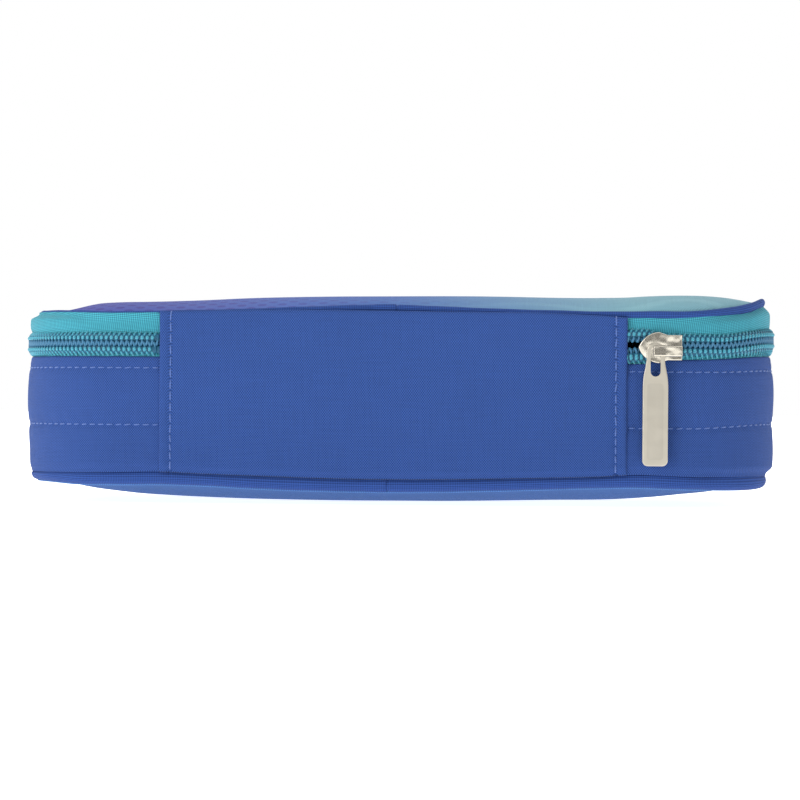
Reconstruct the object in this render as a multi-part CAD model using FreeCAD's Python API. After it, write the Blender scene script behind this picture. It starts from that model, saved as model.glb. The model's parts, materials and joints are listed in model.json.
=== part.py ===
import FreeCAD, Part

# A zip-round pencil case: a soft box with a padded lid. One STEP file is written for each separate piece.
# Millimetres, +Z up. The origin is the centre of the flat area that the case rests on. +X runs along the
# case, and -Y is the hinge side, where the lid stays joined and the zip begins and ends.
#
# Most pieces are a profile carried round one rounded rectangle, the outline of the wall's outer face. A
# profile is drawn in (out, z): out is the distance outside that outline, so negative values are inside.

import math
import os

from FreeCAD import Vector

# Driving dimensions of the case
HALF_LENGTH = 104.0
HALF_WIDTH = 48.0
CORNER_R = 30.5
CLOTH = 0.7  # woven cloth of the wall and the two panels
LINING = 0.4
GAP = 0.05  # between layers that lie on each other

# Heights on the wall
SEAM_LOW = 6.85  # wall to base piping
SEAM_HIGH = 51.75  # wall to lid piping
ZIP_Z = 43.4  # centre line of the zip
HEM_TOP = 40.1  # the wall cloth's upper edge, folded under the zip
HEM_DIP = 1.1  # the hem is pushed down by this much where the open end of the zip spreads
ROW_ZIP_Z = 37.1  # row of stitches that holds the zip tape
ROW_WALL_Z = 21.9  # row that quilts the wall's foam to its cloth
LINING_TOP = 38.4

# Piping
PIPING_R = 1.4
PIPING_CORE_R = 0.9
PIPING_OUT = -1.3  # the piping sits a little inside the wall's outer face
PIPING_INNER = PIPING_OUT - PIPING_R
BASE_PIPING_Z = SEAM_LOW - PIPING_R - GAP
LID_PIPING_Z = SEAM_HIGH + PIPING_R + GAP

# Wall layers, as out distances
FOAM_OUT = -CLOTH - GAP
FOAM_IN = -2.75
LINING_OUT = FOAM_IN - GAP
LINING_IN = LINING_OUT - LINING
TAPE_OUT, TAPE_IN = -0.75, -1.15

# Zip chain: two coils on two tapes
COIL_OUT, COIL_IN = 0.75, -0.7
COIL_HALF = 2.7  # height of one coil
COIL_GAP = 0.05  # from the centre line to a closed coil
TAPE_EDGE = 1.25  # from the centre line to the tape's edge, under the coil
TAPE_LOW_END = 34.0  # bottom edge of the lower tape, inside the wall
TAPE_TUCK = 1.6  # length of the chain and tapes hidden under the hinge panel

# Hinge panel
HINGE_LEFT, HINGE_RIGHT = -63.7, 63.7
HINGE_OUT, HINGE_IN = 1.35, 0.05
HINGE_ROW_INSET = 3.1
WALL_TUCK = 4.2  # how far the wall cloth runs on under the hinge panel

# Lid and base panels
LID_TOP = 58.0
PANEL_RIM_INSET = 2.75
BASE_BOARD_Z, BASE_BOARD_THICK, BASE_BOARD_INSET = 4.6, 1.0, 6.0

# Slider, pull
SLIDER_X = 72.6
PLATE_THICK = 0.9
PLATE_OUT = 0.95  # inner face of the outer plate
PLATE_IN = -1.85  # inner face of the inner plate
NOSE, TAIL = 6.0, 5.8  # from the slider's middle to its two ends
SHOULDER = 4.25
WAIST = 3.45
PULL_THICK = 1.2
BAIL_DROP = 1.0  # the bail sits this far below the zip's centre line
PULL_X, PULL_Z = 71.2, ZIP_Z - 1.1  # the pull hangs a little low on the bail's leg
PULL_DROP = 31.0  # pivot to bottom edge
PULL_HALF = 3.45
EYE_R = 1.35
EYE_BAR = 1.05
EYE_LENGTH = 5.4

THREAD = 0.25
FAR = 400.0

STRAIGHT_X = HALF_LENGTH - CORNER_R
STRAIGHT_Y = HALF_WIDTH - CORNER_R


# ---------------------------------------------------------------- shapes round the outline


def profile(points):
    """A face in the plane X = 0 on the hinge side, from (out, z) points."""
    corners = [Vector(0, -(HALF_WIDTH + out), z) for out, z in points]
    return Part.Face(Part.makePolygon(corners + corners[:1]))


def band(out_high, out_low, z_low, z_high):
    return profile([(out_high, z_low), (out_high, z_high), (out_low, z_high), (out_low, z_low)])


def disc(out, z, radius, hole=0.0):
    """A round profile, or a ring if it has a hole."""
    centre = Vector(0, -(HALF_WIDTH + out), z)
    rim = Part.Wire(Part.makeCircle(radius, centre, Vector(1, 0, 0)))
    face = Part.Face(rim)
    if hole:
        face = face.cut(Part.Face(Part.Wire(Part.makeCircle(hole, centre, Vector(1, 0, 0)))))
    return face.Faces[0]


def around(face):
    """A profile carried once round the outline."""
    up = Vector(0, 0, 1)
    face = face.copy()
    face.translate(Vector(-STRAIGHT_X, 0, 0))
    runs = [Vector(2 * STRAIGHT_X, 0, 0), Vector(0, 2 * STRAIGHT_Y, 0)]
    runs += [-run for run in runs]
    centres = [(1, -1), (1, 1), (-1, 1), (-1, -1)]
    pieces = []
    for run, (side_x, side_y) in zip(runs, centres):
        pieces.append(face.extrude(run))
        face = face.copy()
        face.translate(run)
        centre = Vector(side_x * STRAIGHT_X, side_y * STRAIGHT_Y, 0)
        pieces.append(face.revolve(centre, up, 90))
        face = face.copy()
        face.rotate(centre, up, 90)
    return pieces[0].multiFuse(pieces[1:]).removeSplitter()


def back_box(x_low, x_high):
    """The hinge side's half of space, between two places along the case."""
    return Part.makeBox(x_high - x_low, FAR, FAR, Vector(x_low, -FAR - STRAIGHT_Y, -FAR / 2))


def outline(inset, z):
    """The outline, drawn in by inset, as a wire at height z."""
    half_x, half_y, r = HALF_LENGTH - inset, HALF_WIDTH - inset, CORNER_R - inset
    diagonal = r * math.sqrt(0.5)
    edges = []
    for quarter in range(4):
        turn = FreeCAD.Rotation(Vector(0, 0, 1), 90 * quarter)
        half_a, half_b = (half_x, half_y) if quarter % 2 == 0 else (half_y, half_x)
        start = Vector(-(half_a - r), -half_b, 0)
        end = Vector(half_a - r, -half_b, 0)
        middle = Vector(half_a - r + diagonal, -half_b + r - diagonal, 0)
        finish = Vector(half_a, -half_b + r, 0)
        start, end, middle, finish = (turn.multVec(p) + Vector(0, 0, z) for p in (start, end, middle, finish))
        edges += [Part.LineSegment(start, end).toShape(), Part.Arc(end, middle, finish).toShape()]
    return Part.Wire(edges)


def stack(levels):
    """A solid through the outlines at (inset, z) levels, with straight slopes between them."""
    return Part.makeLoft([outline(inset, z) for inset, z in levels], True, True)


def slab(inset, z_low, z_high):
    return Part.Face(outline(inset, z_low)).extrude(Vector(0, 0, z_high - z_low))


# ---------------------------------------------------------------- base


DOME_STEPS = [(0.0, 0.0), (4.5, 0.42), (10.5, 0.72), (18.0, 0.91), (26.5, 1.0)]  # (inset, share of the rise)


def dome(rim_inset, rim_z, top_z):
    """A padded panel's outer form, from its rim to a flat middle. It bulges down if top_z is below rim_z."""
    levels = [(rim_inset + step, rim_z + share * (top_z - rim_z)) for step, share in DOME_STEPS]
    return levels


def panel_shell(rim_inset, rim_z, top_z, edge):
    """Cloth of one thickness over a dome, with an upright edge where it enters the seam."""
    inward = math.copysign(CLOTH, rim_z - top_z)
    outer = stack([(rim_inset, rim_z + math.copysign(edge, rim_z - top_z))] + dome(rim_inset, rim_z, top_z))
    inner = stack(
        [(rim_inset + CLOTH, rim_z + math.copysign(edge, rim_z - top_z) * 1.5)]
        + dome(rim_inset + CLOTH, rim_z + inward, top_z + inward)
    )
    return outer.cut(inner)


BASE_RIM_Z = 4.5
BASE_EDGE = 0.8
LID_RIM_Z = 54.2
LID_EDGE = 0.6
PADDING_GAP = CLOTH + GAP


def base_panel():
    return panel_shell(PANEL_RIM_INSET, BASE_RIM_Z, 0.0, BASE_EDGE)


def base_foam():
    rim = PANEL_RIM_INSET + PADDING_GAP
    levels = dome(rim, BASE_RIM_Z + PADDING_GAP, PADDING_GAP)
    return stack(levels[::-1]).common(slab(rim + 0.1, 0, BASE_BOARD_Z - GAP))


def base_board():
    return slab(BASE_BOARD_INSET, BASE_BOARD_Z, BASE_BOARD_Z + BASE_BOARD_THICK)


def base_lining():
    top = BASE_BOARD_Z + BASE_BOARD_THICK + GAP
    return slab(-LINING_IN + GAP, top, top + LINING)


def piping_cover(z):
    return around(disc(PIPING_OUT, z, PIPING_R, PIPING_CORE_R + 0.02))


def piping_cord(z):
    return around(disc(PIPING_OUT, z, PIPING_CORE_R))


def base_seam_binding():
    low = BASE_BOARD_Z + BASE_BOARD_THICK + LINING + 3 * GAP
    return around(band(LINING_IN - GAP, LINING_IN - 1.6, low, low + 2.8))


# ---------------------------------------------------------------- wall


def outside_hinge(ring, tuck):
    """The part of a ring that the hinge panel doesn't stand in for, with tuck left under each edge."""
    return ring.cut(back_box(HINGE_LEFT + tuck, HINGE_RIGHT - tuck))


def wall_fabric():
    cloth = outside_hinge(around(band(0, -CLOTH, SEAM_LOW, HEM_TOP)), WALL_TUCK)
    dip = Part.makeBox(SLIDER_X, 9, 9, Vector(0, -HALF_WIDTH - 5, HEM_TOP - HEM_DIP))
    return cloth.cut(dip)


def wall_foam():
    rebate = [
        (FOAM_OUT, SEAM_LOW),
        (FOAM_OUT, TAPE_LOW_END - GAP),
        (TAPE_IN - GAP, TAPE_LOW_END - GAP),
        (TAPE_IN - GAP, LINING_TOP),
        (FOAM_IN, LINING_TOP),
        (FOAM_IN, SEAM_LOW),
    ]
    return outside_hinge(around(profile(rebate)), WALL_TUCK)


def wall_lining():
    return outside_hinge(around(band(LINING_OUT, LINING_IN, SEAM_LOW - 1.2, LINING_TOP)), WALL_TUCK)


def hinge_box(out_high, out_low, inset, z_low, z_high):
    corner = Vector(HINGE_LEFT + inset, -(HALF_WIDTH + out_high), z_low)
    width = HINGE_RIGHT - HINGE_LEFT - 2 * inset
    return Part.makeBox(width, out_high - out_low, z_high - z_low, corner)


def hinge_panel():
    """Cloth with folded edges, hollowed where it covers the two ends of the zip."""
    panel = hinge_box(HINGE_OUT, HINGE_IN, 0, SEAM_LOW, SEAM_HIGH - GAP)
    upright = [e for e in panel.Edges if abs(e.tangentAt(e.FirstParameter).z) > 0.9]
    outer = [e for e in upright if e.CenterOfMass.y < -(HALF_WIDTH + 0.5 * HINGE_OUT)]
    panel = panel.makeFillet(0.6, outer)
    height = 2 * (COIL_HALF + COIL_SPREAD + 0.4)
    for x_low in (HINGE_LEFT - 1, HINGE_RIGHT - TAPE_TUCK - 0.2):
        corner = Vector(x_low, -(HALF_WIDTH + COIL_OUT + 0.1), ZIP_Z - height / 2)
        panel = panel.cut(Part.makeBox(TAPE_TUCK + 1.2, 1.2, height, corner))
    return panel


def hinge_interlining():
    return hinge_box(-GAP, FOAM_IN, WALL_TUCK + 0.1, SEAM_LOW, SEAM_HIGH - 0.3)


def hinge_lining():
    return hinge_box(LINING_OUT, LINING_IN, WALL_TUCK + 0.1, SEAM_LOW - 1.2, SEAM_HIGH - 0.3)


def thread_row(z):
    return outside_hinge(around(band(GAP + THREAD, GAP, z - 0.2, z + 0.2)), -GAP)


def thread_hinge_rows():
    rows = []
    for x in (HINGE_LEFT + HINGE_ROW_INSET, HINGE_RIGHT - HINGE_ROW_INSET):
        corner = Vector(x - 0.2, -(HALF_WIDTH + HINGE_OUT + GAP + THREAD), SEAM_LOW + 0.5)
        rows.append(Part.makeBox(0.4, THREAD, SEAM_HIGH - SEAM_LOW - 1.2, corner))
    return Part.makeCompound(rows)


# ---------------------------------------------------------------- zip


COIL_SPREAD = 1.35  # how far each coil is pushed aside where the slider parts them
SLIDER_MOUTH = 0.75 * NOSE  # from the slider's middle to where the coils start to close


def coil_prism(side, x_low, x_high, parted):
    """The space of one coil on the hinge side: side is 1 above the centre line, -1 below. Where parted, it
    swings away from the centre line towards the zip's closed end, as the slider's nose leaves it."""
    bends = [(x_low, 0.0), (x_high, 0.0)]
    if parted:
        bends = [(x_low, COIL_SPREAD), (SLIDER_X - SLIDER_MOUTH, COIL_SPREAD), (SLIDER_X, 0.4)]
        bends += [(SLIDER_X + 2.0, 0.0), (x_high, 0.0)]
    near = [Vector(x, -FAR, ZIP_Z + side * (COIL_GAP + away)) for x, away in bends]
    far = [Vector(x, -FAR, ZIP_Z + side * (COIL_GAP + away + COIL_HALF)) for x, away in reversed(bends)]
    face = Part.Face(Part.makePolygon(near + far + near[:1]))
    return face.extrude(Vector(0, FAR - STRAIGHT_Y, 0))


def coil(side):
    """One coil, from under the hinge panel's left edge round the case to under its right edge."""
    low, high = sorted((ZIP_Z + side * COIL_GAP, ZIP_Z + side * (COIL_GAP + COIL_HALF)))
    closed = around(band(COIL_OUT, COIL_IN, low, high)).cut(back_box(-STRAIGHT_X, COIL_END))
    tall = around(band(COIL_OUT, COIL_IN, ZIP_Z - 8, ZIP_Z + 8))
    left = tall.common(coil_prism(side, -STRAIGHT_X, HINGE_LEFT + TAPE_TUCK, False))
    right = tall.common(coil_prism(side, HINGE_RIGHT - TAPE_TUCK, COIL_END, True))
    return closed.multiFuse([left, right]).removeSplitter()


COIL_END = SLIDER_X + TAIL + 1.5  # from here on both coils run straight


def zip_tape_upper():
    return outside_hinge(around(band(TAPE_OUT, TAPE_IN, ZIP_Z + TAPE_EDGE, SEAM_HIGH - GAP)), TAPE_TUCK)


def zip_tape_lower():
    return outside_hinge(around(band(TAPE_OUT, TAPE_IN, TAPE_LOW_END, ZIP_Z - TAPE_EDGE)), TAPE_TUCK)


# ---------------------------------------------------------------- lid


def lid_panel():
    return panel_shell(PANEL_RIM_INSET, LID_RIM_Z, LID_TOP, LID_EDGE)


LID_FLOOR = LID_RIM_Z - LID_EDGE  # underside of the lid's foam


def lid_foam():
    rim = PANEL_RIM_INSET + PADDING_GAP
    levels = dome(rim, LID_RIM_Z - PADDING_GAP, LID_TOP - PADDING_GAP)
    return stack(levels).common(slab(rim + 0.1, LID_FLOOR, LID_TOP))


def lid_lining():
    return slab(-PIPING_INNER + GAP, LID_FLOOR - LINING - GAP, LID_FLOOR - GAP)


def lid_seam_binding():
    high = LID_FLOOR - LINING - 2 * GAP
    return around(band(PIPING_INNER - GAP, PIPING_INNER - 1.8, SEAM_HIGH + GAP, high))


# ---------------------------------------------------------------- slider and pull


def from_side(points):
    """A polygon in the slider's own plane, from (along, up) points about its middle, with no depth yet."""
    corners = [Vector(SLIDER_X + x, -HALF_WIDTH, ZIP_Z + z) for x, z in points]
    return Part.Face(Part.makePolygon(corners + corners[:1]))


def thicken(face, out_high, out_low):
    """Gives a face that lies on the wall's outer plane its depth, from out_low to out_high."""
    face = face.copy()
    face.translate(Vector(0, -out_low, 0))
    return face.extrude(Vector(0, -(out_high - out_low), 0))


def slider_outline():
    """Shield shape: a round nose that parts the coils, two shoulders, then straight sides to the tail."""
    def at(x, z):
        return Vector(SLIDER_X + x, -HALF_WIDTH, ZIP_Z + z)

    edges = []
    for side in (1, -1):
        nose = Part.Arc(at(-NOSE, 0), at(-0.72 * NOSE, side * 0.62 * SHOULDER), at(-0.4, side * SHOULDER))
        edges.append(nose.toShape())
        edges.append(Part.LineSegment(at(-0.4, side * SHOULDER), at(1.9, side * WAIST)).toShape())
        edges.append(Part.LineSegment(at(1.9, side * WAIST), at(TAIL, side * WAIST)).toShape())
    edges.append(Part.LineSegment(at(TAIL, WAIST), at(TAIL, -WAIST)).toShape())
    return Part.Face(Part.Wire(Part.__sortEdges__(edges)))


CAP_LEFT, CAP_RIGHT = PULL_X - 0.65 - SLIDER_X, 5.8
CAP_HALF = 1.45
LEG = 1.3
LEG_HALF = 0.95
PULL_IN = PLATE_OUT + PLATE_THICK + 0.25  # inner face of the pull
CAP_IN = PULL_IN + PULL_THICK + 0.25
CAP_OUT = CAP_IN + 0.95
SPRING_THICK = 0.22


def bail_rectangle(left, right, half_height):
    low, high = -BAIL_DROP - half_height, -BAIL_DROP + half_height
    return from_side([(left, low), (right, low), (right, high), (left, high)])


def slider_body():
    """Two plates joined by the wedge that parts the coils. The outer plate's rims fold in over the coils."""
    outline_face = slider_outline()
    outer = thicken(outline_face, PLATE_OUT + PLATE_THICK, PLATE_OUT)
    outer = outer.makeFillet(0.35, outer.Faces[-1].Edges)
    inner = thicken(outline_face, PLATE_IN, PLATE_IN - PLATE_THICK)
    wedge = from_side([(-5.0, 0), (-3.2, 1.1), (-1.6, 0), (-3.2, -1.1)])
    body = outer.fuse([inner, thicken(wedge, PLATE_OUT + 0.1, PLATE_IN - 0.1)])
    for side in (1, -1):
        rim = [(-0.4, SHOULDER), (1.9, WAIST), (TAIL, WAIST), (TAIL, WAIST - 0.42)]
        rim += [(1.9, WAIST - 0.42), (-0.4, SHOULDER - 0.42)]
        face = from_side([(x, side * z) for x, z in rim])
        body = body.fuse(thicken(face, PLATE_OUT + 0.3, 0.15))
    slot = bail_rectangle(CAP_RIGHT - LEG - 0.45, CAP_RIGHT - LEG, 0.6)
    return body.removeSplitter().cut(thicken(slot, 3, 0.5))


def slider_cap():
    """The bail: a strap along the slider, on two legs. The pull hangs on the front leg."""
    strap = bail_rectangle(CAP_LEFT, CAP_RIGHT, CAP_HALF)
    cap = thicken(strap, CAP_OUT, CAP_IN)
    cap = cap.makeFillet(0.4, [e for e in cap.Edges if e.CenterOfMass.y < -(HALF_WIDTH + CAP_OUT - 0.1)])
    for x in (CAP_LEFT, CAP_RIGHT - LEG):
        leg = bail_rectangle(x, x + LEG, LEG_HALF)
        cap = cap.fuse(thicken(leg, CAP_IN + 0.1, PLATE_OUT + PLATE_THICK))
    return cap.removeSplitter()


def slider_lock_spring():
    """A strip under the bail, with a tail through the outer plate that catches between the coils' turns."""
    right = CAP_RIGHT - LEG - 0.05
    strip = bail_rectangle(1.0, right, 0.5)
    tail = bail_rectangle(right - SPRING_THICK, right, 0.5)
    high = CAP_IN - 0.02
    return thicken(strip, high, high - 0.18).fuse(thicken(tail, high, COIL_OUT + 0.1)).removeSplitter()


def pull_tab():
    """A flat tab with a slot at its top. The slot's upper end is round about the leg that it hangs on."""
    top_r = EYE_R + EYE_BAR
    low = -PULL_DROP
    waist = -10.0  # below here the tab has its full width
    corner = 1.5

    def at(x, z):
        return Vector(PULL_X + x, -HALF_WIDTH, PULL_Z + z)

    edges = [Part.Arc(at(-top_r, 0), at(0, top_r), at(top_r, 0)).toShape()]
    for side in (1, -1):
        bend = corner * (1 - math.sqrt(0.5))
        flare = Part.BezierCurve()
        flare.setPoles([at(side * top_r, 0), at(side * top_r, waist / 2), at(side * PULL_HALF, waist / 2),
                        at(side * PULL_HALF, waist)])
        edges += [
            flare.toShape(),
            Part.LineSegment(at(side * PULL_HALF, waist), at(side * PULL_HALF, low + corner)).toShape(),
            Part.Arc(
                at(side * PULL_HALF, low + corner),
                at(side * (PULL_HALF - bend), low + bend),
                at(side * (PULL_HALF - corner), low),
            ).toShape(),
        ]
    edges.append(Part.LineSegment(at(corner - PULL_HALF, low), at(PULL_HALF - corner, low)).toShape())
    face = Part.Face(Part.Wire(Part.__sortEdges__(edges)))
    tab = thicken(face, PULL_IN + PULL_THICK, PULL_IN)
    rims = [e for e in tab.Edges if abs(e.tangentAt(e.FirstParameter).y) < 0.5]
    tab = tab.makeFillet(0.25, rims)
    return tab.cut(pull_slot(at)).cut(pull_recess(at))


def pull_slot(at):
    edges = [
        Part.Arc(at(-EYE_R, 0), at(0, EYE_R), at(EYE_R, 0)).toShape(),
        Part.LineSegment(at(EYE_R, 0), at(EYE_R, -EYE_LENGTH)).toShape(),
        Part.Arc(at(EYE_R, -EYE_LENGTH), at(0, -EYE_LENGTH - EYE_R), at(-EYE_R, -EYE_LENGTH)).toShape(),
        Part.LineSegment(at(-EYE_R, -EYE_LENGTH), at(-EYE_R, 0)).toShape(),
    ]
    return thicken(Part.Face(Part.Wire(edges)), PULL_IN + PULL_THICK + 1, PULL_IN - 1)


def pull_recess(at):
    """A plain shallow panel in the outer face."""
    half, high, low, r = PULL_HALF - 1.25, -EYE_LENGTH - 3.2, -PULL_DROP + 1.7, 0.9
    panel = Part.Face(Part.makePolygon([at(-half, high), at(half, high), at(half, low), at(-half, low), at(-half, high)]))
    recess = thicken(panel, PULL_IN + PULL_THICK + 1, PULL_IN + PULL_THICK - 0.14)
    return recess.makeFillet(r, [e for e in recess.Edges if abs(e.tangentAt(e.FirstParameter).y) > 0.9])


# ---------------------------------------------------------------- all pieces


PIECES = {
    "base_panel": base_panel,
    "base_foam": base_foam,
    "base_board": base_board,
    "base_lining": base_lining,
    "base_piping_cover": lambda: piping_cover(BASE_PIPING_Z),
    "base_piping_cord": lambda: piping_cord(BASE_PIPING_Z),
    "base_seam_binding": base_seam_binding,
    "wall_fabric": wall_fabric,
    "wall_foam": wall_foam,
    "wall_lining": wall_lining,
    "hinge_panel": hinge_panel,
    "hinge_interlining": hinge_interlining,
    "hinge_lining": hinge_lining,
    "thread_zip_row": lambda: thread_row(ROW_ZIP_Z),
    "thread_wall_row": lambda: thread_row(ROW_WALL_Z),
    "thread_hinge_rows": thread_hinge_rows,
    "zip_tape_lower": zip_tape_lower,
    "zip_coil_lower": lambda: coil(-1),
    "zip_tape_upper": zip_tape_upper,
    "zip_coil_upper": lambda: coil(1),
    "lid_panel": lid_panel,
    "lid_foam": lid_foam,
    "lid_lining": lid_lining,
    "lid_piping_cover": lambda: piping_cover(LID_PIPING_Z),
    "lid_piping_cord": lambda: piping_cord(LID_PIPING_Z),
    "lid_seam_binding": lid_seam_binding,
    "slider_body": slider_body,
    "slider_cap": slider_cap,
    "slider_lock_spring": slider_lock_spring,
    "pull_tab": pull_tab,
}


os.makedirs("parts", exist_ok=True)
for name, make in PIECES.items():
    shape = make()
    box = shape.BoundBox
    print(
        f"{name:22s} solids {len(shape.Solids)} valid {shape.isValid()} volume {shape.Volume:9.1f} "
        f"x {box.XMin:7.2f} {box.XMax:7.2f} y {box.YMin:7.2f} {box.YMax:7.2f} z {box.ZMin:6.2f} {box.ZMax:6.2f}"
    )
    shape.exportStep(f"parts/{name}.step")
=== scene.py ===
import json
import math

import bmesh
import bpy
import numpy as np
from mathutils import Matrix, Vector


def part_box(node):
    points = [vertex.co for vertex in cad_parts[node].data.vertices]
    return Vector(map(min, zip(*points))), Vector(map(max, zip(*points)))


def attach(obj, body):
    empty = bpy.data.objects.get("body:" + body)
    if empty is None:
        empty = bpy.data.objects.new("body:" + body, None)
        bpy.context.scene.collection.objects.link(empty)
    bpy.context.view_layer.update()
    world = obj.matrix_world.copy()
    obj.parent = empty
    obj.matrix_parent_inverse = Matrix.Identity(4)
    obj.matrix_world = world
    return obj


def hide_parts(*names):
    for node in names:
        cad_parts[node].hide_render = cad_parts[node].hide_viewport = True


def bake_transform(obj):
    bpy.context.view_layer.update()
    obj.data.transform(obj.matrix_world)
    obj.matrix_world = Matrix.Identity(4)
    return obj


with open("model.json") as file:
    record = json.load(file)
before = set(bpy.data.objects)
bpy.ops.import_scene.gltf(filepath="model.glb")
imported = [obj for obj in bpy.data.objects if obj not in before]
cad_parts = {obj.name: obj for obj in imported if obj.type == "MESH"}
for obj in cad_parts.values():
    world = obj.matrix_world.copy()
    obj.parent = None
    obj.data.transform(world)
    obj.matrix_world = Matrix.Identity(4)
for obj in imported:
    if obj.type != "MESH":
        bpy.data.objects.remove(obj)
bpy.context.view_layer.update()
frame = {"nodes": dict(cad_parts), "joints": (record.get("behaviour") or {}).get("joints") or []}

# A zip-round pencil case. Metres, in the frame of the CAD parts: +X along the case, -Y the hinge side, +Z up.
# Everything sewn round the case is swept along one outline, the wall's outer face in plan. A point on it is
# (s, out, z): s runs along the outline from the middle of the hinge side towards +X, out is the distance
# outside the outline, and z is the height.

MM = 0.001
rng = np.random.default_rng(7)


def joint_place(name):
    return Vector(next(joint for joint in frame["joints"] if joint["name"] == name)["pos_m"])


# Sizes from the frame
wall_low, wall_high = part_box("wall_fabric")
HALF_LENGTH, HALF_WIDTH = wall_high.x, wall_high.y
hinge_low, hinge_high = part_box("hinge_panel")
slider_low, slider_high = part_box("slider_body")
CORNER = joint_place("slider_travel")
STRAIGHT_X, STRAIGHT_Y, ZIP_Z = CORNER.x, -CORNER.y, CORNER.z
CORNER_R = HALF_WIDTH - STRAIGHT_Y
CORNER_ARC = CORNER_R * math.pi / 2
PANEL_HALF = hinge_high.x
SLIDER_MIDDLE = (slider_low.x + slider_high.x) / 2
PULL_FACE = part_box("pull_tab")[0].y
LID_PIPING_Z = joint_place("lid_hinge").z
BASE_PIPING_Z = (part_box("base_piping_cover")[0].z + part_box("base_piping_cover")[1].z) / 2
SEAM_LOW, HEM_TOP = wall_low.z, wall_high.z
SEAM_HIGH = hinge_high.z
LID_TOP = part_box("lid_panel")[1].z
ROW_ZIP_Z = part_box("thread_zip_row")[1].z
ROW_WALL_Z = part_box("thread_wall_row")[0].z - 0.2 * MM

CLOTH, LINING = 0.6 * MM, 0.3 * MM  # how thick they are
PIPING_R = 1.7 * MM
LID_PIPING_R = 1.15 * MM
STITCH_PITCH = 2.55 * MM
COIL_PITCH = 1.42 * MM

# Arc lengths along the outline: where the hinge panel ends, where a corner begins, and all the way round
S_PANEL = PANEL_HALF
S_CORNER = STRAIGHT_X
PERIMETER = 4 * (STRAIGHT_X + STRAIGHT_Y) + 4 * CORNER_ARC


# ---------------------------------------------------------------- the outline, and the case's uneven shape


def outline(s):
    """Points on the outline at arc lengths s, and their outward directions: x, y, nx, ny."""
    s = np.mod(np.asarray(s, float), PERIMETER)
    a, b, r = STRAIGHT_X, STRAIGHT_Y, CORNER_R
    knots = np.cumsum([0, a, CORNER_ARC, 2 * b, CORNER_ARC, 2 * a, CORNER_ARC, 2 * b, CORNER_ARC])
    part = np.searchsorted(knots, s, side="right") - 1
    t = s - knots[np.minimum(part, len(knots) - 1)]
    zero, one = 0 * t, 0 * t + 1
    sine, cosine = np.sin(t / r), np.cos(t / r)
    runs = [
        (t, zero - b - r, zero, -one),
        (a + r * sine, -b - r * cosine, sine, -cosine),
        (zero + a + r, t - b, one, zero),
        (a + r * cosine, b + r * sine, cosine, sine),
        (a - t, zero + b + r, zero, one),
        (-a - r * sine, b + r * cosine, -sine, cosine),
        (zero - a - r, b - t, -one, zero),
        (-a - r * cosine, -b - r * sine, -cosine, -sine),
        (t - a, zero - b - r, zero, -one),
    ]
    return [np.choose(part, [run[k] for run in runs]) for k in range(4)]


def place(s, out, z):
    """(s, out, z) as points in space."""
    x, y, nx, ny = outline(s)
    return np.stack([x + nx * out, y + ny * out, z + 0 * x], axis=-1)


def smooth(t):
    t = np.clip(t, 0, 1)
    return t * t * (3 - 2 * t)


def rise(value, start, end):
    """0 up to start and 1 from end on, both in millimetres, with a smooth rise between them."""
    return smooth((value - start * MM) / ((end - start) * MM))


def slider_end(x):
    return rise(x, 78, 98)


def plain_end(x):
    return rise(-x, 78, 98)


# How far the lid's rim stands above or below its nominal height, along the case: it dips on both sides of the
# hinge panel and curls up at the slider's end.
RIM_X = np.array([-102, -90, -79.5, -68.6, -52.3, -25, -3.3, 15.7, 42.9, 59.3, 70, 78.3, 89.2, 95, 97.5, 100,
                  101.5, 104]) * MM
RIM_DZ = np.array([-1.2, -1.5, -1.8, -1.7, -1.35, -0.35, 0.4, -0.1, -0.9, -1.1, -1.0, -1.0, 0.0, 0.9, 1.6,
                   2.7, 3.3, 3.4]) * MM

# Height of the lid's padded middle, of the base's belly and of the hinge panel's upper edge, along the case
TOP_X = np.array([-104, -92.5, -89, -85, -79.5, -70, -57, -42, -28, -14, 0, 29, 43, 58, 63.5, 69, 75, 86,
                  95]) * MM
TOP_Z = np.array([54.2, 55.2, 56.0, 56.7, 56.7, 56.5, 56.75, 57.45, 57.85, 58.2, 58.3, 58.25, 58.05, 57.9,
                  58.05, 58.35, 58.7, 59.2, 59.4]) * MM
BELLY_X = np.array([-101, -92, -85, -79, -73, -66, -57, -42, -28, -14, 0, 14, 29, 43, 57, 66, 73, 79, 86, 92,
                    101]) * MM
BELLY_Z = np.array([3.8, 2.5, 1.8, 1.55, 1.25, 1.1, 0.75, 0.3, 0.1, 0.0, 0.05, 0.1, 0.35, 0.65, 0.85, 1.2,
                    1.5, 1.9, 2.1, 2.7, 3.6]) * MM
EDGE_X = np.array([-64, -52, -25, -3, 16, 43, 59, 64]) * MM
EDGE_Z = np.array([52.4, 52.8, 53.2, 53.1, 52.95, 52.7, 51.95, 51.6]) * MM


def spline(x, knots, values):
    """A smooth curve through the knots (Catmull-Rom slopes)."""
    slopes = np.gradient(values, knots)
    x = np.clip(x, knots[0], knots[-1])
    i = np.clip(np.searchsorted(knots, x, side="right") - 1, 0, len(knots) - 2)
    h = knots[i + 1] - knots[i]
    t = (x - knots[i]) / h
    return (
        (2 * t**3 - 3 * t**2 + 1) * values[i]
        + (t**3 - 2 * t**2 + t) * h * slopes[i]
        + (3 * t**2 - 2 * t**3) * values[i + 1]
        + (t**3 - t**2) * h * slopes[i + 1]
    )


def rim_dz(x):
    return spline(x, RIM_X, RIM_DZ)


def lid_inset(x):
    """How far the lid's piping is drawn in from the wall's outer face: further at the ends."""
    return (1.6 + 1.7 * slider_end(x) + 2.1 * plain_end(x)) * MM


def base_inset(x):
    return (2.2 + slider_end(x)) * MM


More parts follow.
